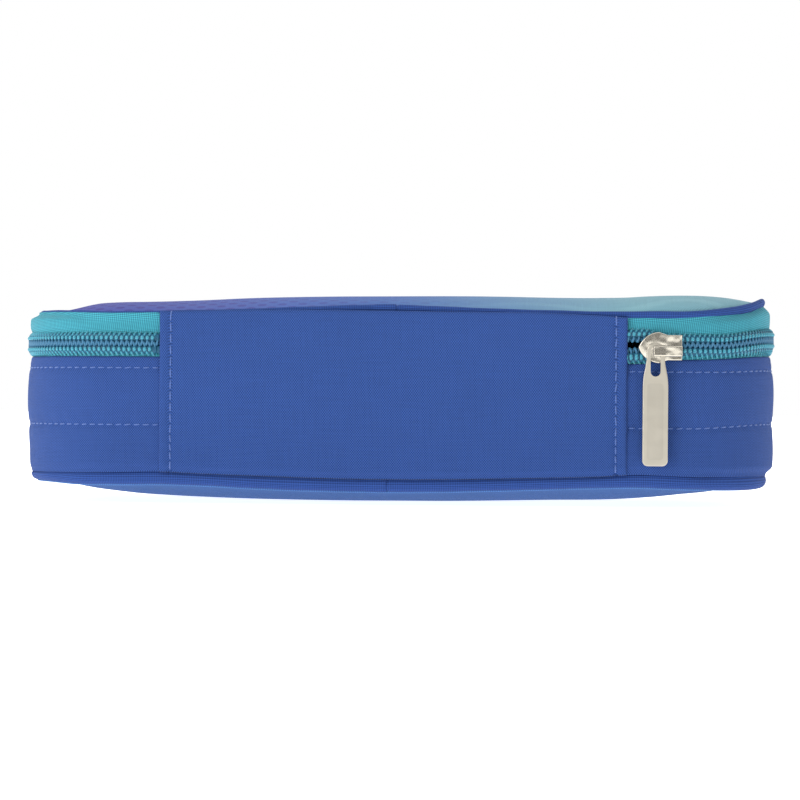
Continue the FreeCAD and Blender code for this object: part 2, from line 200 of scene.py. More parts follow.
# How far the base's piping and the wall's lower seam stand above their nominal heights, along the case
LOW_X = np.array([-104, -96, -88, -75, -63, -52, -36, -25, 2, 29, 43, 56, 64, 84, 98, 104]) * MM
PIPING_DZ = np.array([2.1, 2.0, 1.55, 1.5, 1.6, 1.3, 0.55, 0.25, 0.0, 0.6, 1.1, 1.5, 1.7, 1.3, 1.3, 1.7]) * MM
SEAM_DZ = np.array([1.4, 1.5, 1.7, 2.0, 2.25, 1.8, 1.4, 1.05, 0.7, 1.1, 1.42, 1.85, 2.37, 1.9, 2.0, 1.9]) * MM


def base_dz(x, z):
    """How far the base, soft as it is, stands above its nominal height: the piping, then the wall's lower
    seam, then everything from the lower row of stitches up, which only curves up at the slider's end."""
    piping_dz, seam_dz = spline(x, LOW_X, PIPING_DZ), spline(x, LOW_X, SEAM_DZ)
    low = piping_dz + (seam_dz - piping_dz) * np.clip((z - BASE_PIPING_Z) / (SEAM_LOW - BASE_PIPING_Z), 0, 1)
    wall_dz = 1.2 * MM * rise(x, 80, 104)
    zip_dz = (0.27 + 0.5 * rise(x, 45, 70) + 1.9 * rise(x, 88, 104)) * MM
    high = wall_dz + (zip_dz - wall_dz) * rise(z - HEM_TOP, -0.5, 1.5)
    return low + (high - low) * smooth((z - SEAM_LOW) / (ROW_WALL_Z - SEAM_LOW))


def zip_row_z(x):
    """The upper row of stitches runs a little lower towards the slider's end."""
    return ROW_ZIP_Z - (0.27 + 0.2 * rise(x, 45, 70) + 0.5 * rise(x, 80, 96)) * MM


def lean(x):
    """Both ends stand a little towards the slider's end."""
    return 0.6 * MM * rise(np.abs(x), 66, 100)


def settled(points, dz):
    """Points raised by dz, and moved with the lean of the ends."""
    points = points.copy()
    points[..., 2] += dz
    points[..., 0] += lean(points[..., 0])
    return points


def settle_base(points):
    return settled(points, base_dz(points[..., 0], points[..., 2]))


def settle_lid(points):
    return settled(points, rim_dz(points[..., 0]))


def settle_upper_zip(points):
    """From the chain, which follows the base, up to the lid's rim. The tape's edge covers the piping's lower
    half at one end of the case and stays below it at the slider's end."""
    x, y, z = np.moveaxis(points, -1, 0)
    t = smooth((z - ZIP_Z - 2.5 * MM) / (LID_PIPING_Z - ZIP_Z - 3 * MM))
    under_panel = rise(PANEL_HALF - np.abs(x), -0.3, 0.5) * (y < -HALF_WIDTH + 4 * MM)
    edge = rim_dz(x) - 0.6 * MM * rise(x, -60, 60) - 1.6 * MM * under_panel
    low = base_dz(x, z)
    return settled(points, low + (edge - low) * t)


def settle_panel(points):
    """The hinge panel: its lower edge follows the base's seam, and its upper edge covers the piping's lower
    half."""
    x, _, z = np.moveaxis(points, -1, 0)
    t = smooth((z - 24 * MM) / (SEAM_HIGH - 24 * MM))
    low = base_dz(x, z)
    return settled(points, low + (spline(x, EDGE_X, EDGE_Z) - SEAM_HIGH - low) * t)


# ---------------------------------------------------------------- meshes


def add_mesh(name, points, faces, uv=None, wrap=None):
    """uv is one (u, v) pair per point, in metres of cloth. wrap is the length of each coordinate's full
    round: a face that crosses the seam between its end and its start is unwrapped past the end."""
    mesh = bpy.data.meshes.new(name)
    mesh.from_pydata([tuple(p) for p in np.asarray(points, float)], [], [tuple(f) for f in faces])
    if uv is not None:
        loops = np.zeros(len(mesh.loops), np.int32)
        mesh.loops.foreach_get("vertex_index", loops)
        corners = np.asarray(uv, float)[loops]
        if wrap is not None:
            sizes = np.zeros(len(mesh.polygons), np.int32)
            mesh.polygons.foreach_get("loop_total", sizes)
            face = np.repeat(np.arange(len(sizes)), sizes)
            for k, length in enumerate(wrap):
                top = np.full(len(sizes), -np.inf)
                np.maximum.at(top, face, corners[:, k])
                corners[:, k] += length * (corners[:, k] < top[face] - length / 2)
        layer = mesh.uv_layers.new(name="cloth")
        layer.data.foreach_set("uv", corners.astype(np.float32).ravel())
    mesh.polygons.foreach_set("use_smooth", [True] * len(mesh.polygons))
    mesh.update()
    obj = bpy.data.objects.new(name, mesh)
    bpy.context.scene.collection.objects.link(obj)
    return obj


def grid_faces(rows, columns, close_rows=False, ends=False):
    """The faces of a grid of points whose columns close up. ends adds a face over its first and last rows."""
    i, j = np.arange(rows if close_rows else rows - 1), np.arange(columns)
    i, j = np.meshgrid(i, j, indexing="ij")
    i2, j2 = (i + 1) % rows, (j + 1) % columns
    quads = np.stack([i * columns + j, i2 * columns + j, i2 * columns + j2, i * columns + j2], axis=-1)
    faces = [tuple(quad) for quad in quads.reshape(-1, 4)]
    if ends:
        faces.append(tuple(range(columns)))
        faces.append(tuple((rows - 1) * columns + j for j in reversed(range(columns))))
    return faces


def sweep(name, s, out, z, settle, closed=False):
    """A closed section, swept along the outline. out and z are (rows along s) x (points round it) arrays."""
    points = settle(place(s[:, None] + 0 * out, out, z))
    rows, columns = out.shape
    round_it = np.zeros((rows, columns))
    round_it[:, 1:] = np.cumsum(np.hypot(np.diff(out, axis=1), np.diff(z, axis=1)), axis=1)
    girth = round_it[:, -1].mean() + np.hypot(out[:, 0] - out[:, -1], z[:, 0] - z[:, -1]).mean()
    uv = np.stack([s[:, None] + 0 * out, round_it], axis=-1).reshape(-1, 2)
    faces = grid_faces(rows, columns, closed, ends=not closed)
    return add_mesh(name, points.reshape(-1, 3), faces, uv, wrap=(PERIMETER, girth))


def rounded_band(out_low, out_high, z_low, z_high, edge, corner_steps=5, faces_up=8):
    """The section of a flat strip with rounded edges, as (out, z) lists."""
    turn = np.radians(np.linspace(0, 90, corner_steps))
    up = np.linspace(z_low + edge, z_high - edge, faces_up + 2)[1:-1]
    outs, heights = [], []
    for out_side, z_side, start in ((1, -1, -90), (1, 1, 0), (-1, 1, 90), (-1, -1, 180)):
        angle = turn + math.radians(start)
        outs.append((out_high if out_side > 0 else out_low) - out_side * edge + edge * np.cos(angle))
        heights.append((z_high if z_side > 0 else z_low) - z_side * edge + edge * np.sin(angle))
    out = np.concatenate([outs[0], 0 * up + out_high, outs[1], outs[2], 0 * up + out_low, outs[3]])
    z = np.concatenate([heights[0], up, heights[1], heights[2], up[::-1], heights[3]])
    return out, z


def tiled(section, rows):
    return [np.tile(values, (rows, 1)) for values in section]


def band(name, s, section, settle, closed=False, bulge=None):
    """A strip of one section all the way. bulge(s, z) moves its points outwards."""
    out, z = tiled(section, len(s))
    if bulge is not None:
        out = out + bulge(s[:, None] + 0 * out, z)
    return sweep(name, s, out, z, settle, closed)


def tube(path, sideways, radius, sides=8):
    """Points and faces of a round tube along a path. sideways is a direction that is never along it."""
    ahead = np.gradient(path, axis=0)
    ahead /= np.linalg.norm(ahead, axis=1, keepdims=True)
    first = np.cross(ahead, sideways)
    first /= np.linalg.norm(first, axis=1, keepdims=True)
    second = np.cross(ahead, first)
    angle = np.linspace(0, 2 * math.pi, sides, endpoint=False)
    radius = np.broadcast_to(radius, (len(path),))[:, None, None]
    ring = first[:, None] * np.cos(angle)[None, :, None] + second[:, None] * np.sin(angle)[None, :, None]
    points = (path[:, None] + radius * ring).reshape(-1, 3)
    return points, grid_faces(len(path), sides, ends=True)


def gather(parts):
    """Several (points, faces) sets as one."""
    points, faces, start = [], [], 0
    for part_points, part_faces in parts:
        points.append(part_points)
        faces += [tuple(start + k for k in face) for face in part_faces]
        start += len(part_points)
    return np.concatenate(points), faces


def copies(faces, places):
    """places is a list of point arrays with the same faces."""
    return gather([(points, faces) for points in places])


def steps(start, end, step):
    return np.linspace(start, end, max(2, round((end - start) / step) + 1))


# ---------------------------------------------------------------- materials


def srgb(r, g, b):
    """An 8-bit sRGB colour as linear RGBA."""
    linear = [(c / 255 / 12.92) if c <= 10 else ((c / 255 + 0.055) / 1.055) ** 2.4 for c in (r, g, b)]
    return (*linear, 1.0)


class Signal:
    """A node's output. Arithmetic with signals adds math nodes."""

    def __init__(self, socket):
        self.socket = socket

    def through(self, operation, *others):
        return calculate(operation, self, *others)

    def __add__(self, other):
        return calculate("ADD", self, other)

    def __sub__(self, other):
        return calculate("SUBTRACT", self, other)

    def __rsub__(self, other):
        return calculate("SUBTRACT", other, self)

    def __mul__(self, other):
        return calculate("MULTIPLY", self, other)

    def __truediv__(self, other):
        return calculate("DIVIDE", self, other)


def feed(socket, value):
    """Gives a node's input a number, a colour or a signal."""
    if isinstance(value, Signal):
        socket.id_data.links.new(value.socket, socket)
    else:
        socket.default_value = value


def calculate(operation, *values):
    """A math node. At least one of the values is a signal."""
    tree = next(value for value in values if isinstance(value, Signal)).socket.id_data
    node = tree.nodes.new("ShaderNodeMath")
    node.operation = operation
    for socket, value in zip(node.inputs, values):
        feed(socket, value)
    return Signal(node.outputs[0])


class Nodes:
    """Short calls for building a node tree."""

    def __init__(self, tree):
        self.tree = tree

    def node(self, kind, *inputs, **settings):
        """Adds a node. inputs are (name or number, value) pairs."""
        node = self.tree.nodes.new(kind)
        for key, value in settings.items():
            setattr(node, key, value)
        for key, value in inputs:
            feed(node.inputs[key], value)
        return node

    def mix(self, factor, a, b, blend="MIX"):
        node = self.node("ShaderNodeMix", (0, factor), (6, a), (7, b), data_type="RGBA", blend_type=blend)
        return Signal(node.outputs[2])

    def times(self, colour, factors):
        """A colour with its red, green and blue multiplied."""
        return self.mix(1.0, colour, (*factors, 1), "MULTIPLY")

    def noise(self, vector, scale, detail=2.0, roughness=0.5, stretch=None):
        if stretch is not None:
            node = self.node("ShaderNodeVectorMath", (0, vector), (1, stretch), operation="MULTIPLY")
            vector = Signal(node.outputs[0])
        node = self.node("ShaderNodeTexNoise", ("Vector", vector), ("Scale", scale), ("Detail", detail),
                         ("Roughness", roughness))
        return Signal(node.outputs["Fac"])

    def ramp(self, value, low, high, to_low=0.0, to_high=1.0):
        node = self.node("ShaderNodeMapRange", ("Value", value), ("From Min", low), ("From Max", high),
                         ("To Min", to_low), ("To Max", to_high))
        return Signal(node.outputs["Result"])

    def split(self, vector):
        return [Signal(output) for output in self.node("ShaderNodeSeparateXYZ", (0, vector)).outputs]

    def place(self):
        return Signal(self.node("ShaderNodeTexCoord").outputs["Object"])

    def cloth(self):
        return Signal(self.node("ShaderNodeUVMap", uv_map="cloth").outputs["UV"])


class Surface(Nodes):
    """One material."""

    def __init__(self, name, roughness, metallic=0.0, sheen=0.0, specular=0.5):
        self.material = bpy.data.materials.new(name)
        self.material.use_nodes = True
        super().__init__(self.material.node_tree)
        self.inputs = self.tree.nodes["Principled BSDF"].inputs
        for key, value in (("Roughness", roughness), ("Metallic", metallic), ("IOR", 1.45),
                           ("Sheen Weight", sheen), ("Sheen Roughness", 0.4),
                           ("Specular IOR Level", specular)):
            feed(self.inputs[key], value)

    def finish(self, colour, height, depth):
        """Sets the colour, and a relief that stands depth high where height is 1."""
        feed(self.inputs["Base Color"], colour)
        bump = self.node("ShaderNodeBump", ("Strength", 1.0), ("Distance", depth), ("Height", height))
        feed(self.inputs["Normal"], Signal(bump.outputs["Normal"]))
        return self.material

    def weave(self, pitch_u, pitch_v, turn):
        """A plain weave over the cloth's own coordinates: the height of the yarn on top, from 0 to 1, and
        where the warp is on top, as dots."""
        vector = self.cloth()
        if turn:
            node = self.node("ShaderNodeVectorRotate", ("Vector", vector), ("Angle", turn),
                             rotation_type="Z_AXIS")
            vector = Signal(node.outputs[0])
        u, v, _ = self.split(vector)
        across = (u * (math.pi / pitch_u)).through("SINE")
        along = (v * (math.pi / pitch_v)).through("SINE")
        warp = across.through("ABSOLUTE").through("SQRT") * (across.through("SIGN") * along * 0.5 + 0.5)
        weft = along.through("ABSOLUTE").through("SQRT") * (0.5 - along.through("SIGN") * across * 0.5)
        return warp.through("MAXIMUM", weft), self.ramp(across * along, -0.55, 0.55)


def fabric(name, colour, dark=0.56, pitch=(0.32, 0.41), depth=0.1, turn=0.0, sheen=0.04):
    """Plain-weave cloth, with uneven yarns, faint large blotches and light fuzz. Where the warp is on top the
    colour is painted lighter and where the weft is on top darker: painted highlight and shade of the weave's
    relief. colour is a colour or a function that makes one, and dark is how much darker the weft's crossings
    are painted."""
    n = Surface(name, 0.85, sheen=sheen, specular=0.25)
    pitch_u, pitch_v = pitch[0] * MM, pitch[1] * MM
    height, dots = n.weave(pitch_u, pitch_v, turn)
    base = colour(n) if callable(colour) else srgb(*colour)
    light = 2.0 - dark
    # Painted highlight and shade: a lighter copy of the colour where the warp is on top, a darker one where
    # the weft is.
    weave_light_and_shade = n.mix(dots, n.times(base, (dark, dark, dark * 1.03)), n.times(base, (light, light, light * 0.97)))
    warp_slub = n.noise(n.cloth(), 1.0, 2.0, 0.6, (1 / pitch_u, 90, 1))
    weft_slub = n.noise(n.cloth(), 1.0, 2.0, 0.6, (90, 1 / pitch_v, 1))
    large = n.noise(n.place(), 45, 3.0) - 0.5
    shade = (warp_slub + weft_slub - 1.0) * 0.22 + 1.0 + large * 0.12
    grey = n.node("ShaderNodeCombineColor", *((channel, shade) for channel in range(3)))
    fuzz = n.noise(n.place(), 6000, 2.0, 0.7)
    feed(n.inputs["Roughness"], fuzz * 0.16 + 0.77)
    return n.finish(n.mix(1.0, weave_light_and_shade, Signal(grey.outputs[0]), "MULTIPLY"), height + fuzz * 0.25, depth * MM)


def use(obj, material):
    obj.data.materials.clear()
    obj.data.materials.append(material)


def finish_piece(obj, body, slot, material, *nodes):
    """Gives a piece its look, its body (None: its transform is baked and it goes to no body) and the CAD
    nodes that it replaces, which are hidden. slot is not used."""
    use(obj, material)
    if body is None:
        bend_with_lid(obj)
    else:
        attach(obj, body)
    if nodes:
        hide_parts(*nodes)
    return obj


wall_cloth = fabric("wall cloth", (45, 73, 136))
panel_cloth = fabric("hinge cloth", (44, 73, 136))
# The underside's blue is painted lighter than the wall's: painted light from below.
base_cloth = fabric("base cloth", (59, 97, 154))
# Painted highlight: the fold along the base's seam is a lighter copy of the base's blue.
fold_highlight_cloth = fabric("seam fold cloth", (78, 118, 178), dark=0.75)
piping_cloth = fabric("piping cloth", (42, 71, 137), turn=math.pi / 4, pitch=(0.34, 0.34))
lining_cloth = fabric("lining", (66, 72, 92), pitch=(0.32, 0.32), depth=0.05)
binding_cloth = fabric("seam binding", (58, 66, 96), pitch=(0.5, 0.9), depth=0.12)
tape_cloth = fabric("zip tape", (60, 144, 162), dark=0.6, pitch=(0.42, 0.42), turn=0.7, sheen=0.1)


def print_colour(n):
    """The lid's print: violet through blue to sea green along the case, with darker oval dots that fade out
    towards the green end and faint waves there."""
    x, y, _ = n.split(n.place())
    along = x + (n.noise(n.place(), 14, 2.0) - 0.5) * 0.03
    violet_to_blue = n.mix(n.ramp(along, -0.095, -0.005), srgb(68, 68, 153), srgb(62, 101, 169))
    colour = n.mix(n.ramp(along, -0.005, 0.07), violet_to_blue, srgb(117, 161, 174))
    dot_pitch, dot_flatness = 5.6 * MM, 0.62
    row = y / (dot_pitch * dot_flatness)
    odd = row.through("FLOOR").through("ABSOLUTE").through("MODULO", 2.0) * 0.5
    column = x / dot_pitch + odd
    dx = (column + 50.0).through("FRACT") - 0.5
    dy = ((row + 50.0).through("FRACT") - 0.5) * dot_flatness
    dot = 1.0 - n.ramp((dx * dx + dy * dy).through("SQRT"), 0.2, 0.25)
    dotted = n.mix(dot * (0.8 - n.ramp(x, -0.07, 0.03) * 0.8), colour, srgb(54, 46, 130))
    wave = n.ramp((y * 420.0 + (x * 130.0).through("SINE") * 1.6).through("SINE"), 0.55, 0.95)
    return n.mix(wave * (n.ramp(x, 0.01, 0.07) * 0.16), dotted, srgb(156, 200, 206))


lid_cloth = fabric("lid print cloth", print_colour, depth=0.05, dark=0.86, sheen=0.1)


def thread_material(name, colour):
    n = Surface(name, 0.55, sheen=0.3)
    u, v, _ = n.split(n.cloth())
    twist = (u * (2 * math.pi / (0.5 * MM)) + v * (2 * math.pi)).through("SINE")
    base = srgb(*colour)
    # Painted shade: the grooves of the twist are a darker copy of the thread's colour.
    return n.finish(n.mix(n.ramp(twist, -1.2, 0.9), n.times(base, (0.6, 0.62, 0.68)), base), twist, 0.03 * MM)


def coil_material():
    """The filament is its own teal at its bare heads. Away from the centre line, between the threads that
    sew it down and on the cord, it is painted dark: painted shade in the gaps.
    """
    n = Surface("coil filament", 0.42, specular=0.4)
    streak = n.noise(n.place(), 900, 3.0)
    _, up, _ = n.split(n.cloth())
    heads = n.mix(streak, srgb(46, 100, 134), srgb(66, 120, 152))
    # Painted shade: from 0.55 to 0.95 mm off the centre line on, the colour goes dark.
    return n.finish(n.mix(n.ramp(up, 0.55 * MM, 0.95 * MM), heads, srgb(20, 84, 112)), streak, 0.02 * MM)


def metal(name, colour, roughness, waves, face=None):
    """Cast zinc, plated with nickel: soft waviness of the casting, a fine grain and faint rubbing marks. With
    face, the shallow panel behind y = face is painted darker: painted shade in the recess."""
    n = Surface(name, roughness, metallic=1.0)
    grain = n.noise(n.place(), 3000, 2.0, 0.5)
    wave = n.noise(n.place(), 260, 1.0)
    marks = n.noise(n.place(), 1.0, 1.0, 0.5, (400, 400, 90))
    plating = n.mix(marks, srgb(*(c * 0.95 for c in colour)), srgb(*colour))
    if face is not None:
        # Painted shade: the recessed panel behind the pull's front face is a darker copy of the plating.
        _, y, _ = n.split(n.place())
        recess_shade = n.times(plating, (0.93, 0.93, 0.935))
        plating = n.mix(n.ramp(y, face + 0.03 * MM, face + 0.1 * MM), plating, recess_shade)
    feed(n.inputs["Roughness"], marks * 0.1 + (roughness - 0.05))
    return n.finish(plating, grain * 0.0003 + wave * waves, 1 * MM)


def foam_material():
    n = Surface("padding foam", 0.9)
    cells = n.node("ShaderNodeTexVoronoi", ("Vector", n.place()), ("Scale", 1400))
    depth = Signal(cells.outputs["Distance"])
    # Painted shade: the hollows of the cells are painted darker.
    colour = n.mix(n.ramp(depth, 0.0, 0.7), srgb(150, 152, 156), srgb(205, 206, 208))
    return n.finish(colour, depth, 0.25 * MM)


def board_material():
    n = Surface("stiffening board", 0.6)
    fibre = n.noise(n.place(), 500, 4.0, 0.7, (1, 6, 1))
    return n.finish(n.mix(fibre, srgb(196, 192, 182), srgb(222, 219, 210)), fibre, 0.05 * MM)


def cord_material():
    n = Surface("piping cord", 0.85, sheen=0.2)
    x, y, z = n.split(n.place())
    ply = ((x + y + z * 1.3) * (2 * math.pi / (1.6 * MM))).through("SINE")
    # Painted shade: the grooves between the plies are painted darker.
    return n.finish(n.mix(n.ramp(ply, -1, 1), srgb(176, 174, 166), srgb(226, 224, 216)), ply, 0.15 * MM)


topstitch = thread_material("topstitch thread", (86, 116, 182))
chain_thread = thread_material("zip sewing thread", (68, 160, 180))
coil_nylon = coil_material()
nickel = metal("bright nickel", (206, 200, 186), 0.18, 0.38)
pull_nickel = metal("satin nickel pull", (196, 190, 176), 0.34, 0.04, face=PULL_FACE)
foam = foam_material()
board = board_material()
cord = cord_material()
for node in ("slider_body", "slider_cap", "slider_lock_spring"):
    use(frame["nodes"][node], nickel)
use(frame["nodes"]["pull_tab"], pull_nickel)


# ---------------------------------------------------------------- the wall


WALL_TUCK = 3.5 * MM  # the wall's cloth runs on under the hinge panel
WALL_ENDS = (S_PANEL - WALL_TUCK, PERIMETER - S_PANEL + WALL_TUCK)
FINE_STEP, COARSE_STEP = 0.55 * MM, 1.6 * MM
wall_s = steps(*WALL_ENDS, FINE_STEP)
open_s = steps(*WALL_ENDS, COARSE_STEP)
ring_s = steps(0, PERIMETER, COARSE_STEP)[:-1]


def lobe(z, low, high):
    """A padded bulge between two rows: 0 at both, 1 half-way, and steep beside the rows."""
    t = np.clip((z - low) / (high - low), 0, 1)
    return np.sin(math.pi * t) ** 0.65


def row_dents(run, across, pitch):
    """What a row of stitches does to the cloth: a shallow groove, deeper at each needle hole."""
    groove = np.exp(-((across / (0.9 * MM)) ** 2))
    hole = np.exp(-((across / (0.4 * MM)) ** 2)) * np.cos(run * math.pi / pitch) ** 8
    return -0.22 * MM * groove - 0.28 * MM * hole


def wall_bulge(s, z):
    """How far the wall's cloth stands out, between the seam and the two rows of stitches."""
    x = outline(s)[0]
    row_zip = zip_row_z(x)
    ease = 1 + 0.22 * np.sin(s * 61) + 0.15 * np.sin(s * 143 + z * 300)
    out = (0.36 * lobe(z, SEAM_LOW, ROW_WALL_Z) + 0.42 * lobe(z, ROW_WALL_Z, row_zip)) * ease * MM
    out = out - 0.45 * MM * smooth((z - row_zip) / (HEM_TOP - row_zip))
    out = out - 0.5 * MM * plain_end(x) * rise(ROW_WALL_Z - z, 0, 9)
    tuck_in = 1 - rise(z - SEAM_LOW, 0, 2.6)
    out = out - (0.5 + 1.1 * slider_end(x) - 0.2 * plain_end(x)) * MM * tuck_in**1.5 + 0.18 * MM
    for row in (ROW_WALL_Z, row_zip):
        out = out + row_dents(s - S_PANEL, z - row, STITCH_PITCH)
    ripples = np.sin(s * math.pi / STITCH_PITCH + z * 500) * np.exp(-(((z - ROW_WALL_Z) / (3.5 * MM)) ** 2))
    return out + 0.05 * MM * ripples


INNER_POINTS = 14
HEM_R = 0.55 * MM


def wall_section():
    """Up the outside, over the folded hem, and down the inside."""
    up = np.concatenate([np.linspace(SEAM_LOW - 0.3 * MM, SEAM_LOW + 3 * MM, 9),
                         np.linspace(SEAM_LOW + 3.4 * MM, HEM_TOP - 0.6 * MM, 44)])
    fold = np.radians(np.linspace(0, 180, 9))
    down = np.linspace(HEM_TOP - 0.8 * MM, SEAM_LOW - 0.3 * MM, INNER_POINTS)
    out = np.concatenate([0 * up, HEM_R * (np.cos(fold) - 1), 0 * down - 2 * HEM_R])
    return out, np.concatenate([up, HEM_TOP - HEM_R + HEM_R * np.sin(fold), down])


def wall_fabric_piece():
    """The hem drops a little where the zip is parted, between the hinge panel and the slider."""
    out, z = tiled(wall_section(), len(wall_s))
    out += wall_bulge(wall_s[:, None] + 0 * out, z)
    out[:, -INNER_POINTS:] = np.minimum(out[:, -INNER_POINTS:], -0.75 * MM)
    x, y, _, _ = outline(wall_s)
    parted = rise(SLIDER_MIDDLE - x, 0, 5) * (y < -HALF_WIDTH + 1 * MM) * (x > 0)
    z -= 1.1 * MM * parted[:, None] * smooth((z - ROW_ZIP_Z) / (HEM_TOP - ROW_ZIP_Z))
    return sweep("wall_fabric_cloth", wall_s, out, z, settle_base)


wall = finish_piece(wall_fabric_piece(), "base", "wall_blue", wall_cloth, "wall_fabric")

low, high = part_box("wall_foam")
FOAM_OUT, FOAM_IN = -1.0 * MM, -2.75 * MM
foam_section = rounded_band(FOAM_IN, FOAM_OUT, low.z, ZIP_Z - 10 * MM, 0.5 * MM)


def wall_foam_piece():
    """The foam's lower edge is squeezed flat in the seam."""
    s = open_s[2:-2]
    out, z = tiled(foam_section, len(s))
    out = np.maximum(out - 1.6 * MM * (1 - rise(z - SEAM_LOW, 0, 4)), FOAM_IN)
    return sweep("wall_foam_pad", s, out, z, settle_base)


wall_foam = wall_foam_piece()
finish_piece(wall_foam, "base", "foam_grey", foam, "wall_foam")


def lining_bulge(s, z):
    """The lining hangs a little loose between its seams."""
    t = np.clip((z - SEAM_LOW) / (31 * MM), 0, 1)
    loose = 0.35 * np.sin(s * 37) + 0.25 * np.sin(s * 97 + z * 120)
    return -0.5 * MM * np.sin(math.pi * t) * (0.6 + loose)


LINING_OUT, LINING_IN = -2.85 * MM, -3.2 * MM


def lining_section(low_z, high_z):
    return rounded_band(LINING_IN, LINING_OUT, low_z, high_z, 0.15 * MM, corner_steps=3, faces_up=24)


low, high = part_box("wall_lining")
section = lining_section(low.z - 1.6 * MM, high.z)
wall_lining = band("wall_lining_cloth", open_s, section, settle_base, bulge=lining_bulge)
finish_piece(wall_lining, "base", "lining_grey", lining_cloth, "wall_lining")


# ---------------------------------------------------------------- stitches


def stitch(length, radius, lift):
    """One stitch lying along its own first axis, its ends sunk into the cloth."""
    t = np.linspace(0, 1, 9)
    path = np.stack([(t - 0.5) * length, lift * np.sin(math.pi * t) ** 0.5 - 0.8 * radius, 0 * t], axis=-1)
    return tube(path, np.array([0, 0, 1.0]), radius * (0.7 + 0.3 * np.sin(math.pi * t)), sides=7)


def add_stitches(name, points, faces, places, turn):
    """Stitches in one mesh. The thread's twist goes round once in turn."""
    uv = np.tile(np.stack([points[:, 0], points[:, 2] / turn], axis=-1), (len(places), 1))
    return add_mesh(name, *copies(faces, places), uv)


def stitch_row(name, z):
    """Stitches along the wall at height z(x)."""
    points, faces = stitch(2.0 * MM, 0.18 * MM, 0.24 * MM)
    places = []
    for here in row_s:
        length = 1 + 0.08 * rng.standard_normal()
        tilt = 0.05 * rng.standard_normal() + 0.07
        along = here + points[:, 0] * length
        here_z = z(outline(along)[0])
        out = wall_bulge(along, here_z) + points[:, 1]
        places.append(settle_base(place(along, out, here_z + points[:, 2] + points[:, 0] * tilt)))
    return add_stitches(name, points, faces, places, 2 * math.pi * 0.24 * MM)


row_s = np.arange(S_PANEL + STITCH_PITCH / 2, PERIMETER - S_PANEL - 0.3 * MM, STITCH_PITCH)
zip_row = stitch_row("thread_zip_row_stitches", zip_row_z)
finish_piece(zip_row, "base", "thread_blue", topstitch, "thread_zip_row")
wall_row = stitch_row("thread_wall_row_stitches", lambda x: ROW_WALL_Z + 0 * x)
finish_piece(wall_row, "base", "thread_blue", topstitch, "thread_wall_row")


# ---------------------------------------------------------------- the hinge panel


PANEL_OUT, PANEL_IN = -hinge_low.y - HALF_WIDTH, 0.1 * MM
PANEL_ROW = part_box("thread_hinge_rows")[1].x - 0.2 * MM
PANEL_STITCHES = np.linspace(SEAM_LOW + 1.5 * MM, SEAM_HIGH - 1.3 * MM, 15)
PANEL_PITCH = PANEL_STITCHES[1] - PANEL_STITCHES[0]


def panel_face(x, z):
    """How far out the hinge panel's cloth is. It is flattest along its two rows of stitches."""
    t = np.clip((z - SEAM_LOW) / (SEAM_HIGH - SEAM_LOW), 0, 1)
    full = 0.45 * MM * np.sin(math.pi * t) ** 0.7 * rise(PANEL_HALF - np.abs(x), 0, 26)
    out = PANEL_OUT - 0.25 * MM + full
    bottom, top = t * (SEAM_HIGH - SEAM_LOW), (1 - t) * (SEAM_HIGH - SEAM_LOW)
    out = out - 0.8 * MM * (1 - rise(bottom, 0, 1.5)) - 0.3 * MM * (1 - rise(top, 0, 0.7))
    out = out + row_dents(z - PANEL_STITCHES[0] + PANEL_PITCH / 2, np.abs(x) - PANEL_ROW, PANEL_PITCH)
    out = out + 0.12 * MM * np.exp(-(((np.abs(x) - PANEL_ROW - 1.7 * MM) / (0.9 * MM)) ** 2))
    wave = 0.07 * np.sin(x * 110 + z * 60) + 0.06 * np.sin(x * 47 - z * 90 + 1.0)
    out = out + wave * MM * np.sin(math.pi * t)
    edge = np.clip((PANEL_HALF - np.abs(x)) / (0.6 * MM), 0, 1)
    return PANEL_IN + (out - PANEL_IN) * np.sqrt(1 - (1 - edge) ** 2)


def panel_piece():
    bend = 0.6 * MM * (1 - np.cos(np.linspace(0, math.pi / 2, 7)))
    inner = steps(-PANEL_HALF + 0.9 * MM, PANEL_HALF - 0.9 * MM, 0.7 * MM)
    x = np.concatenate([-PANEL_HALF + bend, inner, (PANEL_HALF - bend)[::-1]])
    z = np.concatenate([np.linspace(SEAM_LOW - 0.4 * MM, SEAM_LOW + 2.4 * MM, 8),
                        np.linspace(SEAM_LOW + 2.9 * MM, SEAM_HIGH - 2.6 * MM, 64),
                        np.linspace(SEAM_HIGH - 2.2 * MM, SEAM_HIGH - 0.1 * MM, 7)])
    section_z = np.concatenate([z, z[::-4]])
    out = np.zeros((len(x), len(section_z)))
    out[:, :len(z)] = panel_face(x[:, None], z[None, :])
    out[:, len(z):] = PANEL_IN - 0.05 * MM
    return sweep("hinge_panel_cloth", x, out, np.tile(section_z, (len(x), 1)), settle_panel)


panel = finish_piece(panel_piece(), "base", "panel_blue", panel_cloth, "hinge_panel")


def panel_rows():
    points, faces = stitch(2.6 * MM, 0.21 * MM, 0.28 * MM)
    places = []
    for side in (-1, 1):
        for z in PANEL_STITCHES:
            tilt = 0.06 * rng.standard_normal()
            up = z + points[:, 0]
            x = side * PANEL_ROW + points[:, 2] + points[:, 0] * tilt
            places.append(settle_panel(place(x, panel_face(x, up) + points[:, 1], up)))
    return add_stitches("thread_hinge_rows_stitches", points, faces, places, 1.5 * MM)


finish_piece(panel_rows(), "base", "thread_blue", topstitch, "thread_hinge_rows")

